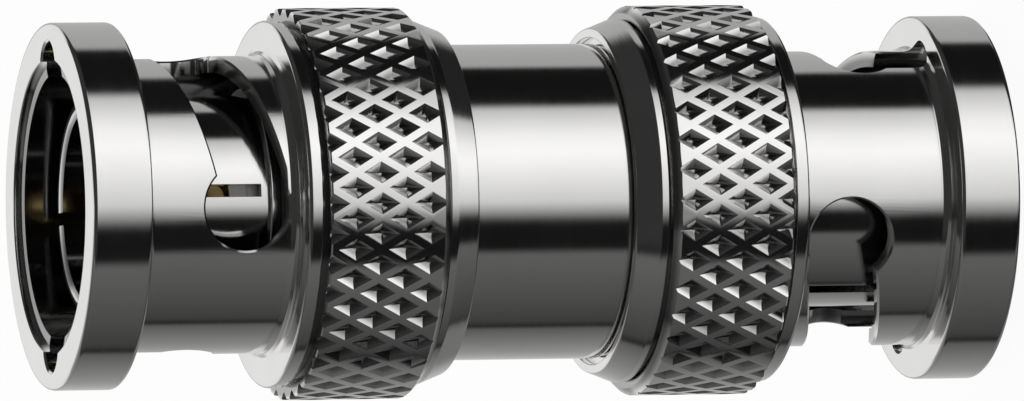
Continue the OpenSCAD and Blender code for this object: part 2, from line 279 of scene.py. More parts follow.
@dataclass(frozen=True)
class TurnedMetal(Finish):
    """Plated metal with the fine rings that a lathe leaves.

    The rings follow the depth on round walls and the radius on end faces, so that they run round the axis.
    The bore is darkened with painted shade, from its radius inwards.
    """

    name: str
    low: Colour
    high: Colour
    roughness: float
    roughness_spread: float
    rings_per_mm: float
    ring_height: float
    ring_detail: float = 3.0
    ring_drift: float = 0.7
    ring_share: float = 0.6
    smudge_per_mm: float = 0.35
    smudge_detail: float = 4.0
    painted_shade: PaintedShade | None = None
    bore: float = 0.0
    bore_fade: float = 0.2
    bore_shade: float = 0.65

    def wire(self, board: Board) -> dict[str, Any]:
        """Values and wires of the Principled shader's inputs."""
        x, y, z = board.millimetres()
        radius = (x * x + y * y) ** 0.5
        turn = y.turn_to(x)
        rings = board.noise(
            radius * self.rings_per_mm, z * self.rings_per_mm, turn * self.ring_drift, self.ring_detail
        )
        smudge = board.speckle((x, y, z), self.smudge_per_mm, self.smudge_detail)
        wear = rings * self.ring_share + smudge * (1 - self.ring_share)
        colour = board.blend(smudge, (*self.low, 1.0), (*self.high, 1.0))
        roughness = self.roughness + (wear - NOISE_MEAN) * self.roughness_spread
        # Painted shade: the knurl's pits and grooves are darkened, where shade falls, and their roughness
        # rises a little.
        if self.painted_shade is not None:
            pit_shade = self.painted_shade.mask(radius, z)
            colour = board.blend(pit_shade * self.painted_shade.darkness, colour, grey(0.0))
            roughness = roughness + pit_shade * self.painted_shade.dullness
        # Painted shade: the bore is darkened from its radius inwards, where shade falls inside the mouth.
        if self.bore > 0:
            bore_shade_share = radius.step(self.bore + self.bore_fade, self.bore)
            colour = board.blend(bore_shade_share * self.bore_shade, colour, grey(0.0))
        bump = board.bump(rings, self.ring_height)
        return {"Base Color": colour, "Metallic": 1.0, "Roughness": roughness, "Normal": bump}


@dataclass(frozen=True)
class SoftSolid(Finish):
    """Rubber or plastic with a fine grain and a cloudy colour."""

    name: str
    low: Colour
    high: Colour
    roughness: float
    grains_per_mm: float
    grain_height: float
    detail: float = 3.0
    cloud_per_mm: float = 0.4
    roughness_spread: float = 0.12

    def wire(self, board: Board) -> dict[str, Any]:
        """Values and wires of the Principled shader's inputs."""
        place = board.millimetres()
        grain = board.speckle(place, self.grains_per_mm, self.detail)
        cloud = board.speckle(place, self.cloud_per_mm, self.detail)
        return {
            "Base Color": board.blend(cloud, (*self.low, 1.0), (*self.high, 1.0)),
            "Metallic": 0.0,
            "Roughness": self.roughness + (grain - NOISE_MEAN) * self.roughness_spread,
            "Normal": board.bump(grain, self.grain_height),
        }


NICKEL = TurnedMetal(
    "bright_nickel", (0.73, 0.725, 0.715), (0.8, 0.795, 0.785), 0.11, 0.1, 11.0, 0.0011
)
# Knurled nickel with painted shade in its knurl's pits and grooves and in its bore.
KNURLED = replace(
    NICKEL,
    name="knurled_nickel",
    painted_shade=PaintedShade(middle=17.7, near=4.2, far=9.0, crest=7.25, depth=0.35),
    bore=5.1,
    bore_fade=0.4,
)
# Contact plating with painted shade in its bore, inside the fingers.
CONTACT = TurnedMetal(
    "contact_plating", (0.7, 0.695, 0.685), (0.78, 0.775, 0.765), 0.11, 0.1, 14.0, 0.001, bore=3.5
)
SPRING = TurnedMetal(
    "spring_sheet", (0.48, 0.48, 0.475), (0.58, 0.575, 0.57), 0.3, 0.15, 6.0, 0.0015
)
PIN = TurnedMetal(
    "gold_plating", (0.82, 0.6, 0.25), (0.9, 0.68, 0.32), 0.16, 0.1, 14.0, 0.0008
)
INSULATOR = SoftSolid("turned_insulator", (0.93, 0.93, 0.92), (0.96, 0.96, 0.95), 0.42, 5.0, 0.004)
GASKET = SoftSolid("sealing_rubber", (0.028, 0.028, 0.028), (0.05, 0.05, 0.05), 0.55, 7.0, 0.006)


@dataclass(frozen=True)
class Corner:
    """A corner of a turned profile, with the size of its rounding."""

    radius: float
    depth: float
    rounding: float = 0.0


class Shape:
    """A mesh that is being modelled, in millimetres."""

    TURN_STEPS = 240
    ROUND_STEPS = 3
    SUPPORT = 0.03
    SUPPORTED_FROM = 6 * SUPPORT
    SAME = 1e-5
    SLIVER = 0.0005
    SHARP = math.radians(34)

    def __init__(self) -> None:
        """Starts with an empty mesh."""
        self.bm = bmesh.new()

    @classmethod
    def turned(cls, corners: Sequence[Corner], steps: int = TURN_STEPS) -> "Shape":
        """Spins a closed profile about the axis.

        Args:
            corners: The profile's corners in order; a stretch on the axis stays open and closes by itself.
            steps: Faces round the axis.

        Returns:
            The closed turned shape.
        """
        shape = cls()
        bm = shape.bm
        points = [bm.verts.new((corner.radius, 0.0, corner.depth)) for corner in corners]
        bm.faces.new(points)
        for rounding in sorted({corner.rounding for corner in corners} - {0.0}):
            same = [p for p, corner in zip(points, corners) if corner.rounding == rounding]
            shape.bevel(same, rounding, cls.ROUND_STEPS, "VERTICES")
        bmesh.ops.delete(bm, geom=bm.faces[:], context="FACES_ONLY")
        on_axis = [edge for edge in bm.edges if all(v.co.x < cls.SAME for v in edge.verts)]
        bmesh.ops.delete(bm, geom=on_axis, context="EDGES")
        shape._support_edges()
        shape.spin(bm.verts[:] + bm.edges[:], math.tau, steps, use_merge=True)
        return shape.cleaned()

    @classmethod
    def ring(cls, inner: float, reach: "Reach", far: float, edge: float, steps: int = TURN_STEPS) -> "Shape":
        """A plain ring with rounded edges, from the start of its reach to a far depth."""
        places = [(inner, reach.near), (reach.radius, reach.near), (reach.radius, far), (inner, far)]
        return cls.turned([Corner(radius, depth, edge) for radius, depth in places], steps)

    @classmethod
    def swept(cls, section: Sequence[tuple[float, float]], turn: float, climb: float, steps: int) -> "Shape":
        """Sweeps a closed section along a helix about the axis.

        Args:
            section: Radii and depths of the section's corners.
            turn: Angle of the whole sweep, in radians.
            climb: Depth gained over the whole sweep.
            steps: Sections along the sweep.

        Returns:
            The closed sweep, which starts at angle 0.
        """
        shape = cls()
        bm = shape.bm
        points = [bm.verts.new((radius, 0.0, depth)) for radius, depth in section]
        edges = [bm.edges.new(pair) for pair in zip(points, points[1:] + points[:1])]
        shape.spin(points + edges, turn, steps, dvec=(0, 0, climb / steps))
        return shape.closed()

    @classmethod
    def block(cls, low: Sequence[float], high: Sequence[float]) -> "Shape":
        """A box between two corners."""
        shape = cls()
        size = Vector(high) - Vector(low)
        bmesh.ops.create_cube(shape.bm, size=1.0)
        bmesh.ops.scale(shape.bm, vec=size, verts=shape.bm.verts[:])
        bmesh.ops.translate(shape.bm, vec=Vector(low) + size / 2, verts=shape.bm.verts[:])
        return shape

    def spin(self, geometry: list[Any], turn: float, steps: int, **settings: Any) -> None:
        """Spins geometry about the axis."""
        bmesh.ops.spin(
            self.bm, geom=geometry, cent=(0, 0, 0), axis=(0, 0, 1), angle=turn, steps=steps, **settings
        )

    def bevel(self, geometry: list[Any], size: float, steps: int, affect: str) -> None:
        """Rounds edges or corners off."""
        bmesh.ops.bevel(
            self.bm,
            geom=geometry,
            offset=size,
            offset_type="OFFSET",
            segments=steps,
            profile=0.5,
            affect=affect,
            material=-1,
        )

    def _support_edges(self) -> None:
        """Splits the profile's long edges beside their ends, so that shading stays flat between roundings."""
        for edge in self.bm.edges[:]:
            if edge.calc_length() < self.SUPPORTED_FROM:
                continue
            far = edge.verts[1]
            share = self.SUPPORT / edge.calc_length()
            joint = bmesh.utils.edge_split(edge, edge.verts[0], share)[1]
            rest = next(e for e in joint.link_edges if far in e.verts)
            bmesh.utils.edge_split(rest, far, self.SUPPORT / rest.calc_length())

    def cleaned(self) -> "Shape":
        """Merges doubles and turns the faces outwards."""
        bmesh.ops.remove_doubles(self.bm, verts=self.bm.verts[:], dist=self.SAME)
        bmesh.ops.recalc_face_normals(self.bm, faces=self.bm.faces[:])
        return self

    def closed(self) -> "Shape":
        """Fills what is still open and turns the faces outwards."""
        bmesh.ops.remove_doubles(self.bm, verts=self.bm.verts[:], dist=self.SAME)
        bmesh.ops.holes_fill(self.bm, edges=[e for e in self.bm.edges if e.is_boundary], sides=0)
        return self.cleaned()

    def moved(self, matrix: Matrix) -> "Shape":
        """Moves the whole shape."""
        bmesh.ops.transform(self.bm, matrix=matrix, verts=self.bm.verts[:])
        return self

    def copied(self) -> "Shape":
        """A copy of the shape."""
        twin = Shape()
        twin.bm.free()
        twin.bm = self.bm.copy()
        return twin

    def trimmed(self, depth: float, keep_above: bool) -> "Shape":
        """Cuts the shape off at a depth, where it stays open, and keeps the deeper or the other side."""
        bmesh.ops.bisect_plane(
            self.bm,
            geom=self.bm.verts[:] + self.bm.edges[:] + self.bm.faces[:],
            dist=self.SAME,
            plane_co=(0, 0, depth),
            plane_no=(0, 0, -1 if keep_above else 1),
            clear_outer=True,
        )
        return self

    def carved(self, tools: Sequence["Shape"], carving: Carving) -> "Shape":
        """Joins other shapes to this one, cuts them out of it or keeps what they have in common."""
        work = self.as_object("work")
        helpers = [tool.as_object("tool") for tool in tools]
        for helper in helpers:
            step = work.modifiers.new("carving", "BOOLEAN")
            step.operation = carving.value
            step.solver = "EXACT"
            step.object = helper
        result = Shape()
        evaluated = work.evaluated_get(bpy.context.evaluated_depsgraph_get())
        result.bm.from_mesh(evaluated.to_mesh())
        evaluated.to_mesh_clear()
        for used in [work, *helpers]:
            mesh = used.data
            bpy.data.objects.remove(used)
            bpy.data.meshes.remove(mesh)
        bmesh.ops.dissolve_degenerate(result.bm, dist=self.SLIVER, edges=result.bm.edges[:])
        return result.cleaned()

    def as_object(self, name: str) -> bpy.types.Object:
        """Makes an object of the shape as it is."""
        mesh = bpy.data.meshes.new(name)
        self.bm.to_mesh(mesh)
        self.bm.free()
        made = bpy.data.objects.new(name, mesh)
        bpy.context.scene.collection.objects.link(made)
        return made

    def finished(self, name: str, finish: Finish) -> bpy.types.Object:
        """Makes a piece of the shape, in metres, with smooth walls and sharp edges."""
        self.moved(Matrix.Scale(MM, 4))
        piece = self.as_object(name)
        piece.data.shade_smooth()
        piece.data.set_sharp_from_angle(angle=self.SHARP)
        piece.data.materials.append(finish.material())
        return piece


@dataclass(frozen=True)
class Reach:
    """Where a node of the frame lies in its end's own frame, in millimetres."""

    near: float
    far: float
    radius: float

    @classmethod
    def of(cls, node: str, end: End) -> "Reach":
        """Reads a node's box, as measured from an end."""
        low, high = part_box(node)
        radius = max(high.x, high.y) / MM
        if end is End.B:
            return cls(low.z / MM, high.z / MM, radius)
        length = Adapter.length()
        return cls(length - high.z / MM, length - low.z / MM, radius)


class Adapter:
    """What all the sub-assemblies share."""

    @staticmethod
    def length() -> float:
        """Distance between the two nuts' front faces."""
        return (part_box("coupling_nut_a")[1].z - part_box("coupling_nut_b")[0].z) / MM

    @classmethod
    def place(cls, end: End, turn: float = 0.0) -> Matrix:
        """Takes a shape from its end's frame to the adapter's.

        Args:
            end: The end that it belongs to.
            turn: Its turn about the axis, in degrees.

        Returns:
            The placing matrix.
        """
        turned = Matrix.Rotation(math.radians(turn), 4, "Z")
        if end is End.B:
            return turned
        flip = Matrix.Rotation(math.pi, 4, "X")
        return Matrix.Translation((0, 0, cls.length())) @ flip @ turned


@dataclass(frozen=True)
class Role:
    """What a piece is in the adapter. Braces in its names take the end's letter."""

    name: str
    node: str
    body: str
    slot: Slot
    finish: Finish

    def put(self, shape: Shape, end: End = End.B, turn: float = 0.0) -> bpy.types.Object:
        """Makes a piece of a shape and puts it in the place of its node.

        Args:
            shape: The shape in its end's frame, which is used up.
            end: The end that it belongs to.
            turn: Its turn about the axis, in degrees.

        Returns:
            The piece.
        """
        name, node, body = (words.format(end.value) for words in (self.name, self.node, self.body))
        piece = shape.moved(Adapter.place(end, turn)).finished(name, self.finish)
        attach(piece, body)
        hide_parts(node)
        log.info("%s: %d faces", piece.name, len(piece.data.polygons))
        return piece


@dataclass
class Knurl:
    """Cross knurl: rows of four-sided pits in a net of flat ridges."""

    radius: float
    at: float
    root_radius: float
    count: int = 40
    pitch: float = 1.9
    rows: int = 4
    run_on: float = 0.8
    land: float = 0.23
    depth: float = 0.35
    edge_break: float = 0.03
    edge_steps: int = 2
    bottom_round: float = 0.2
    bottom_steps: int = 4
    front_chamfer: float = 0.05
    rear_chamfer: float = 0.27
    past: float = 0.2

    @property
    def half_pitch(self) -> float:
        """Distance between two rows."""
        return self.pitch / 2

    @property
    def width(self) -> float:
        """Length of the knurl along the axis."""
        return self.half_pitch * (self.rows + self.run_on)

    def cell(self, pitted: bool) -> Shape:
        """One open cell of the net: a diamond with half a ridge on each side, and perhaps a pit in it."""
        shape = Shape()
        bm = shape.bm
        half_turn = math.pi / self.count
        places = [(0, -self.half_pitch), (half_turn, 0), (0, self.half_pitch), (-half_turn, 0)]
        corners = [
            bm.verts.new((self.radius * math.cos(turn), self.radius * math.sin(turn), depth))
            for turn, depth in places
        ]
        face = bm.faces.new(corners)
        if not pitted:
            return shape
        face.normal_update()
        bmesh.ops.inset_individual(bm, faces=[face], thickness=self.land / 2, use_even_offset=True)
        for vert in bm.verts:
            vert.co.xy *= self.radius / vert.co.xy.length
        bottom = bmesh.ops.poke(bm, faces=[face])["verts"][0]
        bottom.co = (self.radius - self.depth, 0.0, 0.0)
        rim = [e for e in bm.edges if len(e.link_faces) == 2 and bottom not in e.verts]
        rim = [e for e in rim if any(bottom in f.verts for f in e.link_faces)]
        shape.bevel(rim, self.edge_break, self.edge_steps, "EDGES")
        shape.bevel([bottom], self.bottom_round, self.bottom_steps, "VERTICES")
        return shape

    def build(self) -> Shape:
        """The knurl as a closed ring, at its place on the nut."""
        shape = Shape()
        pitch_turn = math.tau / self.count
        for row in range(self.rows + 2):
            cell = self.cell(pitted=row <= self.rows)
            offset = pitch_turn / 2 * (row % 2)
            cell.moved(Matrix.Translation((0, 0, self.half_pitch * row)) @ Matrix.Rotation(offset, 4, "Z"))
            mesh = bpy.data.meshes.new("cell")
            cell.bm.to_mesh(mesh)
            shape.bm.from_mesh(mesh)
            bpy.data.meshes.remove(mesh)
        cells = shape.bm.verts[:] + shape.bm.edges[:] + shape.bm.faces[:]
        shape.spin(cells, math.tau - pitch_turn, self.count - 1, use_duplicate=True)
        shape.cleaned().trimmed(0.0, keep_above=True).trimmed(self.width, keep_above=False)
        self._close(shape)
        chamfered = shape.carved([self.envelope()], Carving.COMMON)
        return chamfered.moved(Matrix.Translation((0, 0, self.at)))

    def envelope(self) -> Shape:
        """Ring round the knurl whose sloping ends leave the knurl's chamfers."""
        inner = self.root_radius - self.past
        outer = self.radius + self.past
        corners = [
            Corner(inner, -self.past),
            Corner(self.radius - self.front_chamfer - self.past, -self.past),
            Corner(outer, self.front_chamfer + self.past),
            Corner(outer, self.width - self.rear_chamfer - self.past),
            Corner(self.radius - self.rear_chamfer - self.past, self.width + self.past),
            Corner(inner, self.width + self.past),
        ]
        return Shape.turned(corners)

    def _close(self, shape: Shape) -> None:
        """Adds the end faces and the inner wall."""
        bm = shape.bm
        rims = [e for e in bm.edges if e.is_boundary]
        made = bmesh.ops.extrude_edge_only(bm, edges=rims)["geom"]
        for vert in made:
            if isinstance(vert, bmesh.types.BMVert):
                vert.co.xy *= self.root_radius / vert.co.xy.length
        roots = [e for e in made if isinstance(e, bmesh.types.BMEdge) and e.is_boundary]
        bmesh.ops.bridge_loops(bm, edges=roots)
        shape.cleaned()


@dataclass
class Bayonet:
    """Entry notch, helical slot and detent hole of one lug, as the tools that cut them."""

    bore_radius: float
    sleeve_radius: float
    shoulder_at: float
    notch_width: float = 2.2
    notch_out: float = 0.1
    slot_width: float = 2.62
    slot_rise: float = 1.78
    detent_width: float = 3.2
    detent_turn: float = 91.0
    detent_back: float = 1.98
    detent_rise: float = 1.34
    stop_short: float = 3.0
    edge_short: float = 0.06
    edge_break: float = 0.08
    past: float = 0.6
    sweep_steps: int = 72
    round_steps: int = 64

    @property
    def detent_at(self) -> float:
        """Depth of the detent hole's middle."""
        return self.shoulder_at - self.detent_back

    @property
    def slot_at(self) -> float:
        """Depth of the slot's middle line at the notch."""
        return self.detent_at - self.detent_rise

    @property
    def pitch(self) -> float:
        """The slot's climb for each radian."""
        return self.slot_rise / math.radians(self.detent_turn)

    def tools(self, lug_turn: float) -> list[Shape]:
        """The tools of one lug, whose notch lies at this angle in degrees."""
        across = self.slot_width * math.cos(math.atan(self.pitch / self.sleeve_radius))
        start = self.hole(across, 0.0, self.slot_at)
        detent = self.hole(self.detent_width, self.detent_turn, self.detent_at)
        turn = Matrix.Rotation(math.radians(lug_turn), 4, "Z")
        return [tool.moved(turn) for tool in (self.notch(), start, self.slot(), detent)]

    def notch(self) -> Shape:
        """Round groove along the bore, with a broken edge at the mouth."""
        radius = self.notch_width / 2
        wide = radius + self.edge_break
        corners = [
            Corner(0, -self.past),
            Corner(wide, -self.past),
            Corner(wide, 0),
            Corner(radius, self.edge_break),
            Corner(radius, self.slot_at),
            Corner(0, self.slot_at),
        ]
        shape = Shape.turned(corners, self.round_steps)
        return shape.moved(Matrix.Translation((self.bore_radius + self.notch_out, 0, 0)))

    def levels(self, reach: float) -> list[tuple[float, float]]:
        """Radii of a tool's corners and how far each reaches aside, with a broken outer edge."""
        flared = reach + 2 * self.edge_break
        return [
            (self.bore_radius - self.past, reach),
            (self.sleeve_radius - self.edge_break, reach),
            (self.sleeve_radius + self.edge_break, flared),
            (self.sleeve_radius + self.past, flared),
        ]

    def slot(self) -> Shape:
        """Helical slot through the sleeve, with broken outer edges."""
        turn = math.radians(self.detent_turn - self.stop_short)
        levels = self.levels(self.slot_width / 2)
        section = [(radius, self.slot_at - reach) for radius, reach in levels]
        section += [(radius, self.slot_at + reach) for radius, reach in reversed(levels)]
        shape = Shape.swept(section, turn, self.pitch * turn, self.sweep_steps)
        limit = self.detent_at + self.detent_width / 2 - self.edge_short
        return shape.trimmed(limit, keep_above=False).closed()

    def hole(self, width: float, turn: float, at: float) -> Shape:
        """Tool for a round hole at an angle and a depth, with a broken outer edge that follows the sleeve."""
        shape = Shape()
        bm = shape.bm
        loops = []
        for height, reach in self.levels(width / 2):
            known = set(bm.edges)
            verts = bmesh.ops.create_circle(bm, segments=self.round_steps, radius=reach)["verts"]
            for vert in verts:
                across, along = vert.co.xy
                vert.co = (math.sqrt(height**2 - across**2), across, along)
            loops.append([e for e in bm.edges if e not in known])
        for lower, upper in zip(loops, loops[1:]):
            bmesh.ops.bridge_loops(bm, edges=lower + upper)
        shape.closed()
        turned = Matrix.Rotation(math.radians(turn), 4, "Z")
        return shape.moved(turned @ Matrix.Translation((0, 0, at)))


@dataclass
class CouplingNut:
    """Sprung coupling nut: flange, slotted sleeve, shoulder, knurl and tail."""

    bore: float = 4.9
    sleeve_wall: float = 0.6
    sleeve_length: float = 5.85
    flange_width: float = 2.28
    flange_rise: float = 1.28
    mouth_step: float = 0.55
    mouth_depth: float = 0.24
    ledge_bevel: float = 0.27
    ledge_bevel_depth: float = 0.05
    cavity: float = 6.2
    cavity_web: float = 0.65
    groove_wall: float = 0.3
    groove_width: float = 0.2
    rear_groove_width: float = 0.1
    rim_rise: float = 0.3
    rim_width: float = 0.55
    tail_rise: float = 0.25
    tail_straight: float = 0.27
    tail_fall: float = 0.35
    lip_width: float = 0.25
    lip_roll: float = 0.12
    edge: float = 0.15
    small_edge: float = 0.06
    fine_edge: float = 0.03
    fillet: float = 0.35
    lug_turns: tuple[float, float] = (0.0, 180.0)
    rest_turns: tuple[float, float] = (0.0, -18.0)
    role: Role = Role("coupling_nut_shell_{}", "coupling_nut_{}", "nut_{}", Slot.NICKEL, KNURLED)

    def knurl(self) -> Knurl:
        """The nut's knurl."""
        at = self.flange_width + self.sleeve_length + self.rim_width + self.groove_width
        radius = Reach.of("coupling_nut_b", End.B).radius
        return Knurl(radius=radius, at=at, root_radius=self.cavity + self.groove_wall / 2)

    def blank(self) -> Shape:
        """The turned nut without its knurl and slots."""
        length = Reach.of("coupling_nut_b", End.B).far
        knurl = self.knurl()
        sleeve = self.bore + self.sleeve_wall
        flange = sleeve + self.flange_rise
        mouth = self.bore + self.mouth_step
        groove = self.cavity + self.groove_wall
        rim = groove + self.rim_rise
        tail = groove + self.tail_rise
        lip = self.cavity - self.lip_roll
        shoulder_at = self.flange_width + self.sleeve_length
        cavity_at = shoulder_at + self.cavity_web
        tail_at = knurl.at + knurl.width + self.rear_groove_width
        lip_at = length - self.lip_width
        corners = [
            Corner(mouth, 0, self.small_edge),
            Corner(flange, 0, self.edge),
            Corner(flange, self.flange_width, self.edge),
            Corner(sleeve, self.flange_width, self.fillet),
            Corner(sleeve, shoulder_at, self.fillet),
            Corner(rim, shoulder_at, self.edge),
            Corner(rim, shoulder_at + self.rim_width, self.small_edge),
            Corner(groove, shoulder_at + self.rim_width),
            Corner(groove, tail_at),
            Corner(tail, tail_at, self.fine_edge),
            Corner(tail, tail_at + self.tail_straight, self.fine_edge),
            Corner(tail - self.tail_fall, length, self.small_edge),
            Corner(lip, length, self.small_edge),
            Corner(lip, lip_at),
            Corner(self.cavity, lip_at),
            Corner(self.cavity, cavity_at),
            Corner(self.bore, cavity_at, self.small_edge),
            Corner(self.bore, self.mouth_depth + self.ledge_bevel_depth),
            Corner(self.bore + self.ledge_bevel, self.mouth_depth),
            Corner(mouth, self.mouth_depth),
        ]
        return Shape.turned(corners)

    def build(self) -> Shape:
        """The whole nut, in its end's frame."""
        bayonet = Bayonet(self.bore, self.bore + self.sleeve_wall, self.flange_width + self.sleeve_length)
        cutters = [tool for turn in self.lug_turns for tool in bayonet.tools(turn)]
        slotted = self.blank().carved(cutters, Carving.CUT)
        return slotted.carved([self.knurl().build()], Carving.JOIN)

    def dress(self) -> None:
        """Puts a nut at each end."""
        nut = self.build()
        for end, turn in zip(End, self.rest_turns):
            self.role.put(nut.copied(), end, turn)


@dataclass
class OuterContact:
    """Slotted spring fingers, gasket seat, collar, neck and spigot, turned as one piece."""

    radius: float = 4.03
    wall: float = 0.58
    slit_count: int = 4
    slit_width: float = 0.48
    slit_length: float = 5.75
    tip_edge: float = 0.14
    tip_bevel: float = 0.27
    tip_bevel_depth: float = 0.09
    seat_rise: float = 0.27
    seat_length: float = 1.5
    neck: float = 4.95
    core: float = 3.8
    spigot_wall: float = 0.6
    step_back: float = 0.325
    small_edge: float = 0.05
    past: float = 0.5
    rest_turns: tuple[float, float] = (37.5, 78.0)
    role: Role = Role("spring_finger_contact_{}", "outer_contact_{}", "body", Slot.CONTACT, CONTACT)

    def build(self) -> Shape:
        """The contact in its end's frame, with a finger's middle at angle 0."""
        reach = Reach.of("outer_contact_b", End.B)
        gasket = Reach.of("gasket_b", End.B)
        spring = Reach.of("wave_washer_front_b", End.B)
        barrel = Reach.of("barrel", End.B)
        bore = self.radius - self.wall
        collar_end = spring.near
        spigot = self.core + self.spigot_wall
        corners = [
            Corner(bore, reach.near + self.tip_bevel_depth),
            Corner(bore + self.tip_bevel, reach.near),
            Corner(self.radius, reach.near, self.tip_edge),
            Corner(self.radius, gasket.far - self.seat_length),
            Corner(self.radius + self.seat_rise, gasket.far - self.seat_length, self.small_edge),
            Corner(self.radius + self.seat_rise, gasket.far),
            Corner(reach.radius, gasket.far, self.small_edge),
            Corner(reach.radius, collar_end, self.small_edge),
            Corner(self.neck, collar_end),
            Corner(self.neck, barrel.near, self.small_edge),
            Corner(spigot, barrel.near),
            Corner(spigot, reach.far, self.small_edge),
            Corner(self.core, reach.far),
            Corner(self.core, gasket.far + self.step_back),
            Corner(bore, gasket.far + self.step_back),
        ]
        turned = Shape.turned(corners)
        slits = []
        for number in range(self.slit_count):
            slit = Shape.block(
                (bore - self.past, -self.slit_width / 2, reach.near - self.past),
                (self.radius + self.past, self.slit_width / 2, reach.near + self.slit_length),
            )
            turn = math.tau / self.slit_count * (number + 0.5)
            slits.append(slit.moved(Matrix.Rotation(turn, 4, "Z")))
        return turned.carved(slits, Carving.CUT)

    def dress(self) -> None:
        """Puts a contact at each end."""
        contact = self.build()
        for end, turn in zip(End, self.rest_turns):
            self.role.put(contact.copied(), end, turn)


@dataclass
class Barrel:
    """Plain sleeve between the nuts."""

    socket: float = 4.43
    land: float = 3.8
    land_width: float = 1.6
    edge: float = 0.15
    small_edge: float = 0.05
    role: Role = Role("barrel_sleeve", "barrel", "body", Slot.NICKEL, NICKEL)

    def dress(self) -> None:
        """Puts the barrel in its place."""
        reach = Reach.of("barrel", End.B)
        middle = Adapter.length() / 2
        land_at = middle - self.land_width / 2
        land_end = middle + self.land_width / 2
        corners = [
            Corner(self.socket, reach.near, self.small_edge),
            Corner(reach.radius, reach.near, self.edge),
            Corner(reach.radius, reach.far, self.edge),
            Corner(self.socket, reach.far, self.small_edge),
            Corner(self.socket, land_end),
            Corner(self.land, land_end),
            Corner(self.land, land_at),
            Corner(self.socket, land_at),
        ]
        self.role.put(Shape.turned(corners))


@dataclass
class CentrePin:
    """Double-ended pin with a holding collar in the middle."""

    radius: float = 0.675
    tip_radius: float = 0.3375
    tip_length: float = 0.675
    core: float = 1.05
    collar_width: float = 1.0
    tip_edge: float = 0.2
    small_edge: float = 0.05
    steps: int = 96
    role: Role = Role("double_pin", "centre_pin", "body", Slot.PIN, PIN)

    def dress(self) -> None:
        """Puts the pin in its place."""
        reach = Reach.of("centre_pin", End.B)
        insulator = Reach.of("insulator_b", End.B)
        length = Adapter.length()
        half = [
            Corner(self.tip_radius, reach.near, self.tip_edge),
            Corner(self.radius, reach.near + self.tip_length, self.tip_edge),
            Corner(self.radius, insulator.near),
            Corner(self.core, insulator.near, self.small_edge),
            Corner(self.core, (length - self.collar_width) / 2),
            Corner(reach.radius, (length - self.collar_width) / 2, self.small_edge),
        ]
        other = [Corner(c.radius, length - c.depth, c.rounding) for c in reversed(half)]
        ends = [Corner(0, reach.near), *half, *other, Corner(0, reach.far)]
        self.role.put(Shape.turned(ends, self.steps))


@dataclass
class Insulator:
    """Stepped insulator of one end, drilled for the pin."""

    front: float = 3.42
    step_at: float = 9.185
    drill: float = 1.08
    pocket: float = 1.63
    pocket_depth: float = 0.52
    edge: float = 0.08
    steps: int = 160
    role: Role = Role("insulator_core_{}", "insulator_{}", "body", Slot.INSULATOR, INSULATOR)

    def build(self) -> Shape:
        """The insulator in its end's frame."""
        reach = Reach.of("insulator_b", End.B)
        corners = [
            Corner(self.drill, reach.near, self.edge / 2),
            Corner(self.front, reach.near, self.edge),
            Corner(self.front, self.step_at),
            Corner(reach.radius, self.step_at, self.edge),
            Corner(reach.radius, reach.far),
            Corner(self.pocket, reach.far),
            Corner(self.pocket, reach.far - self.pocket_depth),
            Corner(self.drill, reach.far - self.pocket_depth),
        ]
        return Shape.turned(corners, self.steps)

    def dress(self) -> None:
        """Puts an insulator at each end."""
        insulator = self.build()
        for end in End:
            self.role.put(insulator.copied(), end)


@dataclass
class RingPiece:
    """A plain ring, washer or gasket with rounded edges."""

    role: Role
    inner: float
    edge: float

    def dress(self) -> None:
        """Puts one of the rings at each end."""
        for end in End:
            reach = Reach.of(self.role.node.format(end.value), end)
            self.role.put(Shape.ring(self.inner, reach, reach.far, self.edge), end)


@dataclass
class WaveSprings:
    """Two wave washers in series behind each collar, which flatten as the nut is pulled."""

    inner: float = 5.1
    sheet: float = 0.25
    waves: int = 3
    edge: float = 0.05
    travel: float = 0.8
    steps: int = 144
    phases: tuple[tuple[str, float], ...] = (("front", 0.0), ("rear", math.pi))

    def build(self, reach: Reach, phase: float) -> Shape:
        """One wave washer in its end's frame, its waves shifted by a phase in radians."""
        shape = Shape.ring(self.inner, reach, reach.near + self.sheet, self.edge, self.steps)
        swing = (reach.far - reach.near - self.sheet) / 2
        for vert in shape.bm.verts:
            turn = math.atan2(vert.co.y, vert.co.x)
            vert.co.z += swing * (1 + math.cos(self.waves * turn + phase))
        return shape

    def dress(self) -> None:
        """Puts both washers at each end, each with a mesh of its own."""
        for end in End:
            front = Reach.of(f"wave_washer_front_{end.value}", end)
            rear = Reach.of(f"wave_washer_rear_{end.value}", end)
            collar = Adapter.place(end) @ Vector((0, 0, front.near))
            for place, phase in self.phases:
                node = f"wave_washer_{place}_{end.value}"
                role = Role(f"wave_spring_{place}_{end.value}", node, "body", Slot.SPRING, SPRING)
                piece = role.put(self.build(Reach.of(node, end), phase), end)
                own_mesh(piece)


@dataclass(frozen=True)
class Panel:
    """A stretch of the studio's wall round the adapter, and how bright it is at the ends of its pieces."""

    turns: tuple[float, ...]
    levels: tuple[float, ...]


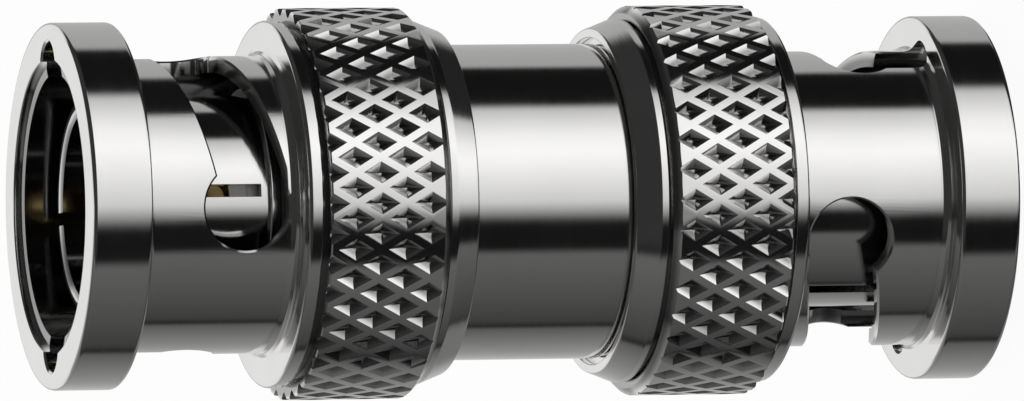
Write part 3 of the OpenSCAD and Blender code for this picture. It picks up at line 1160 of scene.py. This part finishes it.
@dataclass
class Studio:
    """White floor and ground, and the cards and flags that the metal mirrors.

    A direction is a turn in degrees round the adapter's axis, 0 towards the camera and 90 to the picture's
    top, and a lean from -1 to 1 along the axis, 1 to the picture's left. Each fade gives the turns or leans
    between which a card begins.
    """

    panels: tuple[Panel, ...] = (
        Panel((-180, -145, -107), (0.5, 0.27, 0.1)),
        Panel((-104.5, -102.5), (0.015, 0.015)),
        Panel((-99, -39), (0.045, 0.11)),
        Panel((-34.5, -16), (0.006, 0.006)),
        Panel((-13, 0, 27), (0.05, 0.6, 0.89)),
        Panel((37, 50, 71), (0.97, 0.88, 0.52)),
        Panel((76.5, 114), (0.006, 0.006)),
        Panel((119, 180), (0.34, 0.4)),
    )
    wall_strength: float = 1.28
    ground_level: float = 0.9
    behind_turn: Fade = (135.0, 155.0)
    behind_lean: Fade = (0.04, 0.14)
    narrowing: float = 25.0
    narrowing_lean: Fade = (0.42, 0.55)
    top_turn: Fade = (160.0, 140.0)
    top_lean: Fade = (0.9, 0.95)
    left_level: float = 0.03
    left_turn: Fade = (-38.0, -25.0)
    left_lean: Fade = (0.0, 0.1)
    right_lean: Fade = (-0.42, -0.54)
    right_level: float = 0.2
    right_turn: Fade = (-100.0, -115.0)
    shade_level: float = 0.02
    shade_turn: Fade = (72.0, 78.0)
    far_right_lean: Fade = (-0.88, -0.93)
    flood_level: float = 1.0
    flag_turn: Fade = (50.0, 35.0)
    flag_lean: Fade = (0.8, 0.6)
    overhead_shade: float = 0.5
    overhead_lean: Fade = (0.6, 0.8)
    floor_radius: float = 3.0
    floor_steps: int = 64
    floor_drop: float = 0.85
    floor_colour: float = 0.93
    floor_white: float = 0.95

    @staticmethod
    def direction(board: Board) -> tuple[Wire, Wire]:
        """The turn and the lean of a ray that leaves for the studio."""
        x, y, lean = board.axes(board.node("ShaderNodeTexCoord", output="Generated"))
        return x.turn_to(y * -1.0) * math.degrees(1.0), lean

    @staticmethod
    def around(turn: Any) -> Any:
        """Place of a turn on the wall's ramp, from 0 to 1."""
        return turn * (1 / 360) + 0.5

    def ramp(self) -> list[tuple[float, tuple[float, float, float, float]]]:
        """The wall's stops, from 0 to 1 round the axis."""
        return [
            (self.around(turn), grey(level))
            for panel in self.panels
            for turn, level in zip(panel.turns, panel.levels)
        ]

    def mirrored(self, board: Board) -> Wire:
        """Brightness of the studio in the direction that the metal mirrors."""
        turn, lean = self.direction(board)
        left = lean.step(*self.left_lean) * turn.step(*self.left_turn)
        narrowed = abs(turn) - lean.step(*self.narrowing_lean) * self.narrowing
        behind = narrowed.step(*self.behind_turn) * lean.step(*self.behind_lean)
        top = lean.step(*self.top_lean) * abs(turn).step(*self.top_turn)
        right = lean.step(*self.right_lean)
        wall = board.node("ShaderNodeValToRGB", {0: self.around(turn)}, stops=self.ramp())
        level = wall * self.wall_strength
        level = level.towards(self.left_level, left)
        level = level.towards(self.ground_level, behind * (1 - top))
        level = level.towards(self.right_level, right * turn.step(*self.right_turn))
        level = level.towards(self.shade_level, right * turn.step(*self.shade_turn))
        return level.towards(self.left_level, lean.step(*self.far_right_lean))

    def flood(self, board: Board) -> Wire:
        """Brightness of the soft light, with a flag at the camera that keeps the slots dark."""
        turn, lean = self.direction(board)
        flag = abs(turn).step(*self.flag_turn) * lean.step(*self.flag_lean)
        overhead = lean.step(*self.overhead_lean) * self.overhead_shade
        return (1 - flag) * (1 - overhead) * self.flood_level

    def light(self) -> None:
        """Makes the world: white for the camera, soft light, and the studio that the metal mirrors."""
        world = bpy.data.worlds.new("studio")
        world.use_nodes = True
        bpy.context.scene.world = world
        board = Board(world.node_tree)
        mirror = board.node("ShaderNodeLightPath", output="Is Glossy Ray")
        soft = board.node("ShaderNodeLightPath", output="Is Diffuse Ray")
        level = 1 + soft * (self.flood(board) - 1)
        level = level.towards(self.mirrored(board), mirror)
        ground = board.node("ShaderNodeBackground", {"Color": grey(1.0), "Strength": level})
        board.node("ShaderNodeOutputWorld", {"Surface": ground})

    def floor(self) -> None:
        """Makes the pale floor, which keeps the shadow and lets mirrored light through.

        It lies just under the adapter, so that nut B has room when it is pulled forward.
        """
        shape = Shape()
        place = Matrix.Translation((0, 0, -self.floor_drop * MM))
        bmesh.ops.create_circle(
            shape.bm, cap_ends=True, segments=self.floor_steps, radius=self.floor_radius, matrix=place
        )
        floor = shape.as_object("floor")
        material = bpy.data.materials.new("pale_floor")
        material.use_nodes = True
        board = Board(material.node_tree)
        camera = board.node("ShaderNodeLightPath", output="Is Camera Ray")
        mirror = board.node("ShaderNodeLightPath", output="Is Glossy Ray")
        paint = board.node("ShaderNodeBsdfDiffuse", {"Color": grey(self.floor_colour)})
        white = board.node("ShaderNodeEmission", {"Color": grey(1.0), "Strength": 1.0})
        clear = board.node("ShaderNodeBsdfTransparent")
        seen = board.node("ShaderNodeMixShader", {0: camera * self.floor_white, 1: paint, 2: white})
        surface = board.node("ShaderNodeMixShader", {0: mirror, 1: seen, 2: clear})
        board.node("ShaderNodeOutputMaterial", {"Surface": surface})
        floor.data.materials.append(material)
        log.info("floor and studio")


@dataclass
class PhotoCamera:
    """Long lens beside the adapter, turned so that its axis lies along the picture."""

    distance: float = 600.0
    elevation: float = 15.64
    frame_width: float = 38.02
    tilt: float = -0.61
    shift_left: float = 0.015
    shift_up: float = 0.05
    sensor: float = 36.0
    clip: tuple[float, float] = (0.01, 20.0)

    def build(self) -> None:
        """Makes the scene's camera."""
        rise = math.radians(self.elevation)
        back = Vector((0, -math.cos(rise), math.sin(rise)))
        up = Vector((1, 0, 0))
        right = up.cross(back)
        turn = Matrix.Rotation(math.radians(self.tilt), 3, back)
        right, up = turn @ right, turn @ up
        aim = Vector((0, 0, Adapter.length() / 2)) + right * self.shift_left + up * self.shift_up
        camera = bpy.data.cameras.new("long_lens")
        camera.sensor_width = self.sensor
        camera.lens = self.sensor * self.distance / self.frame_width
        camera.clip_start, camera.clip_end = self.clip
        made = bpy.data.objects.new("camera", camera)
        axes = Matrix((right, up, back)).transposed().to_4x4()
        made.matrix_world = Matrix.Translation((aim + back * self.distance) * MM) @ axes
        bpy.context.scene.collection.objects.link(made)
        bpy.context.scene.camera = made
        log.info("camera at %.0f mm", self.distance)


def rings() -> list[RingPiece]:
    """The plain rings of both ends."""
    return [
        RingPiece(Role("sealing_gasket_{}", "gasket_{}", "body", Slot.GASKET, GASKET), 4.33, 0.12),
        RingPiece(Role("thrust_ring_{}", "thrust_washer_{}", "thrust_{}", Slot.SPRING, SPRING), 5.1, 0.06),
        RingPiece(Role("retainer_ring_{}", "retaining_ring_{}", "nut_{}", Slot.NICKEL, NICKEL), 5.1, 0.08),
    ]


def main() -> None:
    """Builds the adapter, the studio and the camera."""
    logging.basicConfig(level=logging.INFO, format="%(name)s: %(message)s")
    bpy.context.scene.view_settings.view_transform = "Standard"
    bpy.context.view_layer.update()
    PhotoCamera().build()
    studio = Studio()
    studio.light()
    studio.floor()
    for piece in (CouplingNut(), OuterContact(), Barrel(), CentrePin(), Insulator(), *rings(), WaveSprings()):
        piece.dress()


if __name__ == "__main__":
    main()
